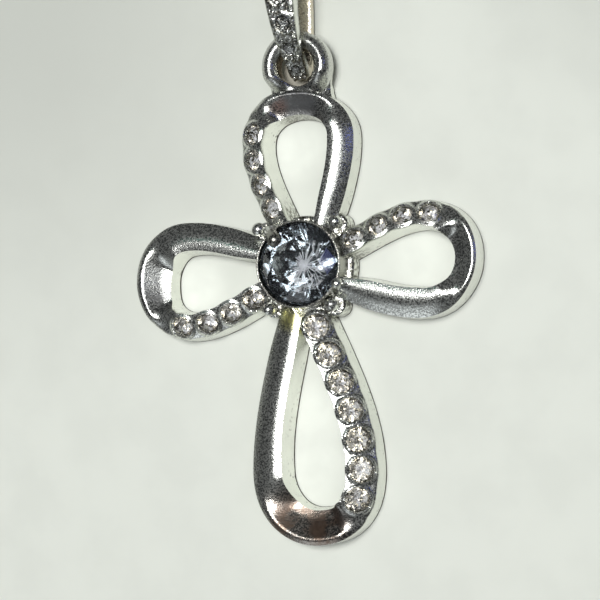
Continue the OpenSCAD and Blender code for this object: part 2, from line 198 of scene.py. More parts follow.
def even(line, count):
    """The same line through a number of evenly spaced points."""
    way = measured(line)
    return along(way, line, np.linspace(0, way[-1], count))


def headings(step):
    """Unit vectors along some steps."""
    return step / np.linalg.norm(step, axis=1)[:, None]


def outward(t):
    """The directions to the left of some flat directions."""
    return np.column_stack([-t[:, 1], t[:, 0]])


def linked(name, data):
    obj = bpy.data.objects.new(name, data)
    bpy.context.scene.collection.objects.link(obj)
    return obj


def solid_object(name, points, faces):
    """An object in the scene whose normals all point outwards."""
    mesh = bpy.data.meshes.new(name)
    mesh.from_pydata(points, [], faces)
    bm = bmesh.new()
    bm.from_mesh(mesh)
    bmesh.ops.recalc_face_normals(bm, faces=bm.faces)
    bm.to_mesh(mesh)
    bm.free()
    return linked(name, mesh)


def dressed(obj, node):
    """The object, in place of a solid of the frame."""
    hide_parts(node)
    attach(obj, "root")


class Metal:
    """Closed shells gathered for one object."""

    def __init__(self):
        self.points = []
        self.faces = []

    def add(self, points, faces):
        start = sum(len(p) for p in self.points)
        self.points.append(np.asarray(points, float))
        self.faces += [[start + i for i in face] for face in faces]

    def swept(self, rings, closed=False):
        """A shell through rings of points that all turn the same way."""
        n, m = len(rings), len(rings[0])
        faces = []
        for i in range(n if closed else n - 1):
            k = (i + 1) % n
            for j in range(m):
                j2 = (j + 1) % m
                faces.append((i * m + j, i * m + j2, k * m + j2, k * m + j))
        if not closed:
            faces.append(tuple(range(m - 1, -1, -1)))
            faces.append(tuple((n - 1) * m + j for j in range(m)))
        self.add(np.concatenate(rings), faces)

    def lathe(self, profile, middle, sides):
        """A ring shaped shell whose closed profile, as (radius, height), turns round a middle."""
        rings = []
        for i in range(sides):
            a = 2 * math.pi * i / sides
            r, high = profile.T
            rings.append(np.column_stack([r * math.cos(a), r * math.sin(a), high]) + middle)
        self.swept(rings, closed=True)

    def hull(self, points):
        bm = bmesh.new()
        for p in points:
            bm.verts.new(p)
        found = bmesh.ops.convex_hull(bm, input=bm.verts)
        inside = [v for v in found["geom_interior"] if isinstance(v, bmesh.types.BMVert)]
        bmesh.ops.delete(bm, geom=inside, context="VERTS")
        bmesh.ops.delete(bm, geom=[v for v in bm.verts if not v.link_faces], context="VERTS")
        bm.verts.index_update()
        self.add([v.co[:] for v in bm.verts], [[v.index for v in f.verts] for f in bm.faces])
        bm.free()

    def built(self, name, material):
        """The finished object, smooth but for its sharp edges."""
        obj = solid_object(name, np.concatenate(self.points).tolist(), self.faces)
        obj.data.shade_smooth()
        obj.data.set_sharp_from_angle(angle=SHARP_ANGLE)
        obj.data.materials.append(material)
        return obj


def ball_points(middle, r):
    bm = bmesh.new()
    bmesh.ops.create_icosphere(bm, subdivisions=BALL_DETAIL, radius=r)
    points = [np.array(v.co) + middle for v in bm.verts]
    bm.free()
    return points


def disc_points(middle, r, height):
    """Points of a standing disc whose upper edge is rounded."""
    points = []
    for i in range(DISC_SIDES):
        a = 360 * i / DISC_SIDES
        points.append([*(middle + polar(r, a)), 0])
        for j in range(DISC_EDGE_STEPS):
            t = math.radians(90 * j / (DISC_EDGE_STEPS - 1))
            inset = polar(r - DISC_EDGE * (1 - math.cos(t)), a)
            points.append([*(middle + inset), height - DISC_EDGE * (1 - math.sin(t))])
    return points


# The loops

ARM_COLUMNS = (
    "turn", "reach", "half w", "strand w", "root set", "root plain", "wide set", "wide plain", "full set",
    "bend", "plain", "stones", "stone d", "first", "pitch", "side set", "side plain",
)
ARM_NAMES = ("upper", "right", "left", "lower")
ROOT_SINK = 0.6 * MM
ROOT_SHARE = 0.72
SET_ROOT_SHARE = 0.95
FULL_PLAIN = 2
SIDE_LEAD = 1.25
LEAD_SHARE = 0.35
TRAIL_SHARE = 0.33
SIDE_STEPS = 120
END_STEPS = 90
WIDTH_AT = (0, 0.4, 0.5, 0.6, 0.74, 0.9, 1)
WIDTH_BLUR = 0.02
FACE_RISE = 0.04 * MM
FACE_CORNER = 0.05 * MM
CORNER_POWER = 0.3
FACE_END = 0.3 * MM
FACE_MORE = 0.1 * MM
FOOT_EDGE = 0.07 * MM
BLEND_LEN = 1.3 * MM
HEADING_STEP = 0.15 * MM
FINE_STEP = 0.055 * MM
COARSE_STEP = 0.14 * MM
FADE_SHARE = 0.08
COLLAR_REACH = 0.26 * MM
SEAT_LIP = 0.01 * MM
SEAT_WALL = 0.07 * MM
# Where a dome's round middle ends, and how much it curves beyond
DOME_ENDS = ((-0.57, 0.7), (0.3, 0.57))
# A place across a bend, from -1 to 1, and the face's slope there
BEND_SLOPES = np.array([
    (-1, 0.16), (-0.6, 0.3), (-0.3, 0.52), (0.5, 0.56), (0.66, 0.05), (0.82, -0.6), (1, -0.74),
])
BEND_CREST = 2.06 * MM
BEND_SPAN = (0.07, 0.16)
TOP_STEPS = 181
TOP_POINTS = 36
WALL_POINTS = 6


def arm_table(s, stones):
    rows = (
        (90, s.upper_reach, s.short_half_w, s.short_strand_w, 0.42, 0.5, 0.74, 0.78, 2.3, 0.92, 0.95, 4,
         stones.short_d, 1.25, 1.27, 1.05, 1.03),
        (-0.5, s.right_reach, s.short_half_w, s.short_strand_w, 0.3, 0.52, 0.73, 0.74, 2.05, 0.84, 1.12, 4,
         stones.short_d, 1.05, 1.3, 0.96, 1),
        (180 + s.left_droop, s.left_reach, s.short_half_w, s.short_strand_w, 0.42, 0.4, 0.75, 0.76, 2.2,
         1.27, 1.07, 4, stones.short_d, 1.1, 1.3, 0.98, 1.04),
        (270, s.lower_reach, s.long_half_w, s.long_strand_w, 0.02, 0.23, 0.765, 0.79, 2.45, 1.08, 0.97, 7,
         stones.long_d, 1.22, 1.238, 1, 0.965),
    )
    return named(ARM_COLUMNS, rows)


def crisp_dome(u):
    """Rise of a polished dome across its width, from -1 to 1: round on top and with crisp edges."""
    rise = np.sqrt(np.maximum(1 - u * u, 0))
    for end, curve in DOME_ENDS:
        high = math.sqrt(1 - end * end)
        run = u - end
        beyond = run * end > 0
        rise = np.where(beyond, high - end / high * run - curve / 2 * run ** 2, rise)
    return rise


def bend_face(u, half):
    """Heights of a bend's face, which falls towards the hole from a crest near its outer edge."""
    slopes = np.interp(u, BEND_SLOPES[:, 0], BEND_SLOPES[:, 1])
    steps = (slopes[1:] + slopes[:-1]) / 2 * np.diff(u) * half
    high = np.concatenate([[0], np.cumsum(steps)])
    return high - high.max() + BEND_CREST


class Loop:
    """One loop of the cross, measured along its middle line from the root of its stone set strand."""

    def __init__(self, s, stones, arm):
        self.s = s
        self.arm = arm
        self.stones = stones
        self.root_r = cup_radius(s, stones) - ROOT_SINK
        out = self.side(arm["side set"], arm["root set"], arm["wide set"], arm["full set"])
        back = self.side(arm["side plain"], arm["root plain"], arm["wide plain"], FULL_PLAIN)
        self.line = np.vstack([out, back[-2::-1] * (1, -1)])
        self.way = measured(self.line)
        self.length = self.way[-1]
        self.first = arm["first"] * arm["stone d"]
        self.pitch = arm["pitch"] * arm["stone d"]
        self.set_end = self.stone_way(arm["stones"] - 1) + arm["stone d"] / 2 + FACE_END

    def side(self, side, root, wide, full):
        half = side * self.arm["half w"]
        start = np.array([self.root_r, root * half])
        widest = np.array([self.arm["reach"] * wide, half])
        run = widest[0] - start[0]
        slope = SIDE_LEAD * (widest[1] - start[1]) / run
        lead = start + run * LEAD_SHARE * np.array([1, slope])
        trail = widest - [run * TRAIL_SHARE, 0]
        t = np.linspace(0, 1, SIDE_STEPS, endpoint=False)[:, None]
        a = np.radians(np.linspace(0, 90, END_STEPS))
        end = np.column_stack([
            widest[0] + (self.arm["reach"] - widest[0]) * np.sin(a) ** (2 / full),
            half * np.maximum(np.cos(a), 0) ** (2 / full),
        ])
        return np.vstack([bezier(start, lead, trail, widest, t), end])

    def stone_way(self, i):
        return self.first + i * self.pitch

    def spot(self, d):
        return along(self.way, self.line, d)

    def heading(self, d):
        ahead = self.spot(np.minimum(d + HEADING_STEP, self.length))
        return headings(ahead - self.spot(np.maximum(d - HEADING_STEP, 0)))

    def width(self, d):
        bend, plain = self.arm["bend"], self.arm["plain"]
        shares = (SET_ROOT_SHARE, 1, bend, bend, plain, plain * SET_ROOT_SHARE, ROOT_SHARE)
        near = np.linspace(-WIDTH_BLUR, WIDTH_BLUR, 9)
        smooth = np.mean([np.interp(d / self.length + n, WIDTH_AT, shares) for n in near], axis=0)
        return self.arm["strand w"] * smooth

    def waist(self, d):
        wave = (1 - np.cos(2 * math.pi * (d - self.first) / self.pitch)) / 2
        return self.s.scallop * wave * (1 - ease((d - self.set_end + self.pitch / 4) / (self.pitch / 4)))

    def turned(self):
        return Matrix.Rotation(math.radians(self.arm["turn"]), 4, "Z")

    def stone_place(self, i):
        """Where stone i sits: its girdle's top at height 0, upright to the face."""
        d = np.array([self.stone_way(i)])
        p = self.spot(d)[0]
        t = self.heading(d)[0]
        s = self.s
        lean = math.atan((s.face_inner_h - s.face_outer_h) / self.width(d)[0])
        face = Matrix.Translation((p[0], p[1], (s.face_inner_h + s.face_outer_h) / 2))
        face = face @ Matrix.Rotation(math.atan2(t[1], t[0]), 4, "Z") @ Matrix.Rotation(-lean, 4, "X")
        return self.turned() @ face @ Matrix.Translation((0, 0, -self.stones.sink))

    def stations(self):
        fine = np.arange(0, self.set_end + FACE_MORE, FINE_STEP)
        count = int((self.length - fine[-1]) / COARSE_STEP)
        return np.concatenate([fine, np.linspace(fine[-1], self.length, count)[1:]])

    def section(self, foot, half, set_share, bend_share):
        """Closed section, inner foot first, as (outward, height)."""
        s = self.s
        inner = mix(s.plain_inner_h, s.face_inner_h, set_share)
        outer = mix(s.plain_outer_h, s.face_outer_h, set_share)
        rise = mix(s.dome_rise, FACE_RISE, set_share)
        corner = FACE_CORNER * set_share
        a = np.linspace(0, math.pi, TOP_STEPS)
        u = -np.cos(a)
        dome = mix(crisp_dome(u), np.sin(a), set_share)
        high = mix(inner, outer, (1 + u) / 2) + rise * dome - corner * (1 - np.sin(a) ** CORNER_POWER)
        top = np.column_stack([half * u, mix(high, bend_face(u, half), bend_share)])
        low, wide = foot + s.inner_draft, foot + s.outer_draft
        inner_foot = [[FOOT_EDGE - low, 0], [-low, FOOT_EDGE]]
        outer_foot = [[wide, FOOT_EDGE], [wide - FOOT_EDGE, 0]]
        t = np.linspace(0, 1, WALL_POINTS)[:, None]
        top = even(top, TOP_POINTS)
        inner_wall = mix(np.array(inner_foot[1]), top[0], t)
        outer_wall = mix(top[-1], np.array(outer_foot[0]), t)
        return np.vstack([inner_foot[:1], inner_wall[:-1], top, outer_wall[1:], outer_foot[1:]])

    def rings(self, stations):
        foot = self.width(stations) / 2
        half = foot - self.waist(stations) / 2
        set_share = 1 - ease((stations - self.set_end) / BLEND_LEN)
        near, far = BEND_SPAN
        bend_share = 1 - ease((np.abs(stations / self.length - 0.5) - near) / (far - near))
        bend_share *= 1 - set_share
        p = self.spot(stations)
        out = outward(self.heading(stations))
        rings = []
        for i in range(len(stations)):
            q = self.section(foot[i], half[i], set_share[i], bend_share[i])
            flat = p[i] + q[:, :1] * out[i]
            rings.append(np.column_stack([flat, q[:, 1]]))
        rings = np.array(rings)
        lean = np.arctan((self.s.face_inner_h - self.s.face_outer_h) / self.width(stations))
        up = np.column_stack([out * np.sin(lean)[:, None], np.cos(lean)])
        top = slice(WALL_POINTS + 1, WALL_POINTS + TOP_POINTS - 1)
        turn = np.array(self.turned().to_3x3())
        rings = rings @ turn.T
        up = up @ turn.T
        places = [self.stone_place(i) for i in range(self.arm["stones"])]
        lift = relief(rings[:, top], places, self.arm["stone d"], self.s.collar, self.stones)
        fade = set_share[:, None] * edge_fade(TOP_POINTS - 2)[None, :]
        rings[:, top] += (lift * fade)[..., None] * up[:, None, :]
        inside, low, foot = seat(self.s, self.stones)
        far = np.linalg.norm(rings[..., :2], axis=-1)
        hollow = np.where(far < inside, mix(foot, low, far / inside) - self.stones.seat_gap / 2, 1)
        rings[..., 2] = np.minimum(rings[..., 2], hollow)
        return rings


def edge_fade(count):
    """1 over the face and less on its outermost points."""
    t = np.linspace(0, 1, count)
    return ease(np.minimum(t, 1 - t) / FADE_SHARE)


def relief(points, places, d, collar, stones):
    """Height of collars and seats over a face, for each point, from the stones' places."""
    r_stone = d / 2
    lift = np.zeros(points.shape[:2])
    deep = np.zeros(points.shape[:2])
    hollow = np.zeros(points.shape[:2])
    edge = r_stone + stones.seat_gap
    for place in places:
        middle = np.array(place.translation)
        axis = np.array(place.to_3x3() @ Vector((0, 0, 1)))
        w = points - middle
        high = w @ axis
        r = np.linalg.norm(w - high[..., None] * axis, axis=-1)
        r = r + np.where(np.abs(high) > d, d, 0)
        lift = np.maximum(lift, collar * (1 - ease((r - edge) / COLLAR_REACH)))
        wall = stones.sink + GIRDLE_SHARE * d + 2 * stones.seat_gap
        cone = np.maximum(r_stone - r, 0) * 2 * PAVILION_SHARE
        share = 1 - ease((r - r_stone + SEAT_LIP) / SEAT_WALL)
        hollow = np.maximum(hollow, share)
        deep = np.minimum(deep, -(wall + cone) * share)
    return lift * (1 - hollow) + deep


# The centre cup, its balls and claws, the ring

BALL_COLUMNS = ("turn", "far", "post")
BALLS = ((47, 1.24, 1.2), (138, 1.31, 1.2), (229.5, 1.27, 1.2), (305, 1.16, 1.16))
CLAW_COLUMNS = ("turn", "far", "size")
CLAWS = ((130, 0.74, 1.12), (-29, 1.06, 0.8))
POST_SHARE = 1.6
BRACE_SHARE = 1.1
BRACE_FAR = 0.86
POST_H_SHARE = 1.08
STEM_SHARE = 0.8
STEM_TOP_SHARE = 0.88
BALL_Z_SHARE = 0.76
CLAW_RISE = 0.35
RIM_DROP = 0.22 * MM
SEAT_FLOOR = 0.01 * MM
WEB_SHARE = 1.14
WEB_H_SHARE = 0.9
WEB_FOOT = 0.08 * MM
WEB_ROUND = 0.2 * MM
CUP_FILLET = 0.12 * MM
CUP_MIDDLE = 0.02 * MM
CUP_SIDES = 128
RING_SIDES = 96
RING_DOME_STEPS = 25
RING_FOOT = 0.1 * MM
RING_RISE_SHARE = 0.42
RING_EDGE_SHARE = 0.35
RING_SINK = 0.8 * MM
RING_SINK_FROM = 0.5 * MM
RING_SINK_RUN = 1.1 * MM
NECK_R = 1.5 * MM
NECK_SINK = 0.25
NECK_DROP = 0.06 * MM
NECK_CREST = 0.12 * MM
NECK_BROW = 0.2 * MM
NECK_INNER_RISE = 0.72
NECK_OUTER_RISE = 0.3
NECK_LOOP_SHARE = 1 / 3
NECK_STEPS = 25


def cup_radius(s, stones):
    return stones.centre_d / 2 + stones.seat_gap + s.rim_t


def seat(s, stones):
    """The cup's hollow for the centre stone: its radius, the height of its edge and of its point."""
    inside = stones.centre_d / 2 + stones.seat_gap
    low = s.cup_h - RIM_DROP - GIRDLE_SHARE * stones.centre_d - stones.seat_gap
    return inside, low, max(low - CENTRE_PAVILION * stones.centre_d - stones.seat_gap, SEAT_FLOOR)


def arc(middle, r, start, stop, count):
    return [middle + polar(r, a) for a in np.linspace(start, stop, count)]


def add_cup(metal, s, stones):
    cup_r = cup_radius(s, stones)
    web_r = cup_r * WEB_SHARE
    web_h = s.plain_outer_h * WEB_H_SHARE
    inside, low, foot = seat(s, stones)
    rim = s.rim_t / 2
    profile = [
        [CUP_MIDDLE, 0], [web_r - WEB_FOOT, 0], [web_r, WEB_FOOT],
        *arc(np.array([web_r - WEB_ROUND, web_h - WEB_ROUND]), WEB_ROUND, 0, 90, 5),
        *arc(np.array([cup_r + CUP_FILLET, web_h + CUP_FILLET]), CUP_FILLET, 270, 180, 5),
        *arc(np.array([cup_r - rim, s.cup_h - rim]), rim, 0, 180, 9),
        [inside, low], [CUP_MIDDLE, foot],
    ]
    metal.lathe(np.array(profile), np.zeros(3), CUP_SIDES)


def add_corner(metal, s, stones, row):
    cup_r = cup_radius(s, stones)
    post_r = s.ball_r * POST_SHARE
    post_h = s.plain_outer_h * POST_H_SHARE
    post = polar(row["post"] * cup_r, row["turn"])
    brace = polar(cup_r * BRACE_FAR, row["turn"])
    metal.hull(disc_points(post, post_r, post_h) + disc_points(brace, post_r * BRACE_SHARE, post_h))
    ball = raised(row["far"] * cup_r, row["turn"], s.cup_h * BALL_Z_SHARE)
    stem = np.append(post, post_h / 2)
    metal.hull(ball_points(ball, s.ball_r * STEM_TOP_SHARE) + ball_points(stem, s.ball_r * STEM_SHARE))
    metal.hull(ball_points(ball, s.ball_r))


def add_claw(metal, s, stones, row):
    cup_r = cup_radius(s, stones)
    r = row["size"] * s.ball_r
    high = s.cup_h + CROWN_SHARE * stones.centre_d * CLAW_RISE
    tip = raised(row["far"] * cup_r, row["turn"], high)
    foot = raised(cup_r, row["turn"], s.cup_h - r)
    metal.hull(ball_points(tip, r) + ball_points(foot, r))


def ring_height(s):
    """How far the ring's middle lies above the centre of the cross."""
    return s.upper_reach + s.ring_rise


def ring_wall(s):
    return s.ring_t * (1 - RING_RISE_SHARE)


def ring_sink(below):
    """How far the ring dips behind the upper loop, from the distance below the ring's middle."""
    return RING_SINK * ease((below - RING_SINK_FROM) / RING_SINK_RUN)


def add_ring(metal, s):
    near, far = s.ring_hole_r, s.ring_hole_r + s.ring_w
    u = np.cos(np.linspace(0, math.pi, RING_DOME_STEPS))
    dome = np.column_stack([
        near + s.ring_w / 2 * (1 + u),
        ring_wall(s) + RING_RISE_SHARE * s.ring_t * (RING_EDGE_SHARE + (1 - RING_EDGE_SHARE) * (1 - u * u)),
    ])
    low = [[near, RING_FOOT], [near + RING_FOOT, 0], [far - RING_FOOT, 0], [far, RING_FOOT]]
    metal.lathe(np.vstack([low, dome]), np.array([s.ring_x, ring_height(s), s.ring_z]), RING_SIDES)
    points = metal.points[-1]
    points[:, 2] -= ring_sink(ring_height(s) - points[:, 1])


def touching(a, ra, b, rb, r):
    """Middle of a circle of radius r that touches the circles round a and b from outside."""
    gap = np.linalg.norm(b - a)
    to_b = (b - a) / gap
    far = ((ra + r) ** 2 - (rb + r) ** 2 + gap * gap) / (2 * gap)
    off = math.sqrt((ra + r) ** 2 - far * far)
    return a + far * to_b + off * np.array([to_b[1], -to_b[0]])


def add_neck(metal, s, side):
    """Hollow fillet between the ring and the upper loop, on the right for side 1 and the left for -1."""
    ring_c = np.array([s.ring_x * side, ring_height(s)])
    loop_r = s.short_half_w + s.short_strand_w * NECK_LOOP_SHARE
    loop_c = np.array([0, s.upper_reach + s.short_strand_w / 2 - loop_r])
    ring_out = s.ring_hole_r + s.ring_w
    c = touching(loop_c, loop_r, ring_c, ring_out, NECK_R)
    start, stop = (c + NECK_R * (end - c) / np.linalg.norm(end - c) for end in (ring_c, loop_c))
    crease = touching(loop_c, loop_r, ring_c, ring_out, 0)
    deep = np.array([
        mix(start, ring_c, NECK_SINK),
        mix(crease, np.array([ring_c[0] / 2, crease[1]]), NECK_SINK),
        mix(stop, loop_c, NECK_SINK / 2),
    ])
    rings = []
    for t in np.linspace(0, 1, NECK_STEPS):
        way = mix(start, stop, t) - c
        p = c + NECK_R * way / np.linalg.norm(way)
        q = mix(deep[0], deep[1], 2 * t) if t < 0.5 else mix(deep[1], deep[2], 2 * t - 1)
        sink = ring_sink(ring_c[1] - p[1])
        low = mix(s.ring_z, 0, ease(2 * t))
        high = mix(s.ring_z + ring_wall(s) - sink, s.plain_outer_h, t) - NECK_DROP
        inward = (q - p) / np.linalg.norm(q - p)
        crest = high + NECK_CREST
        brow = high - NECK_BROW
        rings.append([
            [*p, low], [*q, low], [*q, crest], [*mix(p, q, 0.5), mix(brow, crest, NECK_INNER_RISE)],
            [*(p + inward * NECK_BROW / 2), mix(brow, crest, NECK_OUTER_RISE)], [*p, brow],
        ])
    rings = np.array(rings)
    rings[..., 0] *= side
    metal.swept(list(rings))


# The bail

# Shares of the bail's length, depth, thickness and width, round its outer line
BAIL_LINE = np.array([
    (0, 0.26, 0.74, 0.6),
    (0.085, 0.46, 0.7, 0.62),
    (0.2, 0.68, 0.7, 0.75),
    (0.355, 0.84, 0.84, 0.87),
    (0.53, 0.925, 1, 0.98),
    (0.73, 1, 1, 1),
    (0.9, 0.88, 0.95, 0.97),
    (1, 0.56, 0.85, 0.92),
    (0.92, 0.18, 0.72, 0.88),
    (0.76, 0, 0.65, 0.85),
    (0.45, 0, 0.65, 0.78),
    (0.17, 0, 0.65, 0.66),
    (0.045, 0.08, 0.7, 0.6),
])
BAIL_STONES = 6
BAIL_FIRST = 0.75 * MM
BAIL_PITCH_SHARE = 0.85
BAIL_STONE_SHARE = 0.66
BAIL_EDGE = 0.14 * MM
BAIL_FRONT_MORE = 0.2 * MM
BAIL_COLLAR = 0.06 * MM
BAIL_STEPS = 30
BAIL_FACE_POINTS = 30
BAIL_BACK_POINTS = 6
NO_LIFT = 1e-9
GRAIN_R = 0.17 * MM
GRAIN_FOOT_SHARE = 1.2
GRAIN_H_SHARE = 1.1
GRAIN_INSET = 1.3


class Bail:
    """The bail's closed band, measured along its outer line from its tip."""

    def __init__(self, sizes, casting):
        self.sizes = sizes
        scale = np.array([sizes.length, sizes.depth, sizes.thickness, sizes.width])
        rows = BAIL_LINE * scale
        n = len(rows)
        t = np.linspace(0, 1, BAIL_STEPS, endpoint=False)[:, None]
        parts = []
        for i in range(n):
            a, b, c, d = (rows[(i + k) % n] for k in (-1, 0, 1, 2))
            parts.append(0.5 * (2 * b + (c - a) * t + (2 * a - 5 * b + 4 * c - d) * t ** 2
                                + (3 * b - a - 3 * c + d) * t ** 3))
        self.line = np.vstack(parts + [rows[:1]])
        self.line[:, 1] = np.maximum(self.line[:, 1], 0)
        self.way = measured(self.line[:, :2])
        self.length = self.way[-1]
        self.x = casting.ring_x + sizes.shift
        self.tip_y = ring_height(casting) - sizes.drop

    def at(self, d):
        return along(self.way, self.line, np.mod(d, self.length))

    def heading(self, d):
        return headings((self.at(d + HEADING_STEP) - self.at(d - HEADING_STEP))[:, :2])

    def stone_way(self, i):
        return BAIL_FIRST + i * BAIL_PITCH_SHARE * self.sizes.width

    def stone_d(self, i):
        return BAIL_STONE_SHARE * self.at(np.array([self.stone_way(i)]))[0, 3]

    def place(self, d, sink=0.0):
        """Upright to the outer face at a distance from the tip."""
        p = self.at(np.array([d]))[0]
        t = self.heading(np.array([d]))[0]
        base = Matrix.Translation((self.x, self.tip_y + p[0], p[1]))
        return base @ Matrix.Rotation(math.atan2(t[1], t[0]), 4, "X") @ Matrix.Translation((0, 0, -sink))

    def rings(self, stones):
        front_end = self.stone_way(BAIL_STONES) + BAIL_FRONT_MORE
        front = np.arange(0, front_end, FINE_STEP)
        count = int((self.length - front_end) / COARSE_STEP)
        rest = np.linspace(front_end, self.length, count, endpoint=False)
        d = np.concatenate([front, rest])
        p = self.at(d)
        out = outward(self.heading(d))
        face = BAIL_FACE_POINTS
        rings = []
        for i in range(len(d)):
            thick = p[i, 2]
            side = p[i, 3] / 2 - BAIL_EDGE
            right = np.array([
                np.array([side, middle]) + polar(BAIL_EDGE, a)
                for middle, turns in ((-BAIL_EDGE, (60, 30, 0)), (-thick + BAIL_EDGE, (0, -45, -90)))
                for a in turns
            ])
            left = right[::-1] * (-1, 1)
            back = np.linspace(side, -side, BAIL_BACK_POINTS + 2)[1:-1]
            band = np.vstack([
                np.column_stack([np.linspace(-side, side, face), np.zeros(face)]), right,
                np.column_stack([back, np.full(BAIL_BACK_POINTS, -thick)]), left,
            ])
            spot = p[i, :2] + band[:, 1:] * out[i]
            rings.append(np.column_stack([self.x + band[:, 0], self.tip_y + spot[:, 0], spot[:, 1]]))
        rings = np.array(rings)
        up = np.column_stack([np.zeros(len(d)), out])
        lift = np.zeros((len(d), face))
        for i in range(BAIL_STONES):
            place = self.place(self.stone_way(i), stones.sink / 2)
            near = relief(rings[:, :face], [place], self.stone_d(i), BAIL_COLLAR, stones)
            lift = np.where(np.abs(near) > NO_LIFT, near, lift)
        for i in range(-1, BAIL_STONES - 1):
            middle = (self.stone_way(i) + self.stone_way(i + 1)) / 2
            place = self.place(middle)
            across = self.at(np.array([middle]))[0, 3] / 2 - GRAIN_R * GRAIN_INSET
            for side in (-1, 0, 1) if i < 1 else (-1, 1):
                grain = np.array(place @ Vector((side * across, 0, 0)))
                r = np.linalg.norm(rings[:, :face] - grain, axis=-1) / (GRAIN_R * GRAIN_FOOT_SHARE)
                lift = np.maximum(lift, GRAIN_R * GRAIN_H_SHARE * np.sqrt(np.clip(1 - r * r, 0, 1)))
        rings[:, :face] += (lift * edge_fade(face)[None, :])[..., None] * up[:, None, :]
        return rings


# Cut stones

TABLE_SHARE = 0.6
CROWN_SHARE = 0.15
GIRDLE_SHARE = 0.04
PAVILION_SHARE = 0.445
CENTRE_PAVILION = 0.43
FACETS = 8
GIRDLE_SIDES = 4
STAR_SHARE = 0.84
LOWER_SHARE = 0.28
BAIL_BACK = 0.93
ARM_SPIN = 17
BAIL_SPIN = 11


def brilliant(name, d, materials, back_share=1.0, pavilion=PAVILION_SHARE):
    """Round brilliant cut, its girdle's top at height 0. Slot 0 is the crown, slot 1 the foiled back."""
    r = d / 2
    crown = CROWN_SHARE * d
    girdle = GIRDLE_SHARE * d
    deep = pavilion * d
    half_step = math.cos(math.pi / FACETS)
    star_z = crown * (1 - (STAR_SHARE * half_step - TABLE_SHARE) / (1 - TABLE_SHARE))
    low_z = -girdle - deep * (1 - LOWER_SHARE * half_step)
    points, starts = [], []
    for radius, z, offset, count in (
        (TABLE_SHARE * r, crown, 0, FACETS),
        (STAR_SHARE * r, star_z, 0.5, FACETS),
        (r, 0, 0, GIRDLE_SIDES * FACETS),
        (r * back_share, -girdle, 0, GIRDLE_SIDES * FACETS),
        (LOWER_SHARE * r * back_share, low_z, 0.5, FACETS),
        (0, -girdle - deep, 0, 1),
    ):
        starts.append(len(points))
        points += [(*polar(radius, 360 * (i + offset) / count), z) for i in range(count)]
    table, star, edge, low, back, tip = starts
    crown_faces, back_faces = [tuple(range(FACETS))], []
    for i in range(FACETS):
        after = (i + 1) % FACETS
        before = (i - 1) % FACETS
        around = [(GIRDLE_SIDES * i + k) % (GIRDLE_SIDES * FACETS) for k in range(GIRDLE_SIDES + 1)]
        e = [edge + k for k in around]
        g = [low + k for k in around]
        crown_faces += [
            (table + after, table + i, star + i),
            (table + i, star + before, e[0], star + i),
            (star + i, e[0], e[1], e[2]),
            (star + i, e[2], e[3], e[4]),
        ]
        back_faces += [
            (tip, back + i, g[0], back + before),
            (back + i, g[2], g[1], g[0]),
            (back + i, g[4], g[3], g[2]),
        ]
        back_faces += [(e[k], g[k], g[k + 1], e[k + 1]) for k in range(GIRDLE_SIDES)]
    obj = solid_object(name, points, crown_faces + back_faces)
    for material in materials:
        obj.data.materials.append(material)
    slots = [0] * len(crown_faces) + [1] * len(back_faces)
    obj.data.polygons.foreach_set("material_index", slots)
    return obj


def set_stone(node, d, place, materials, spin=0.0, back_share=1.0, pavilion=PAVILION_SHARE):
    obj = brilliant(node + "_cut", d, materials, back_share, pavilion)
    obj.data.transform(place @ Matrix.Rotation(math.radians(spin), 4, "Z"))
    dressed(obj, node)


# Wiring of materials

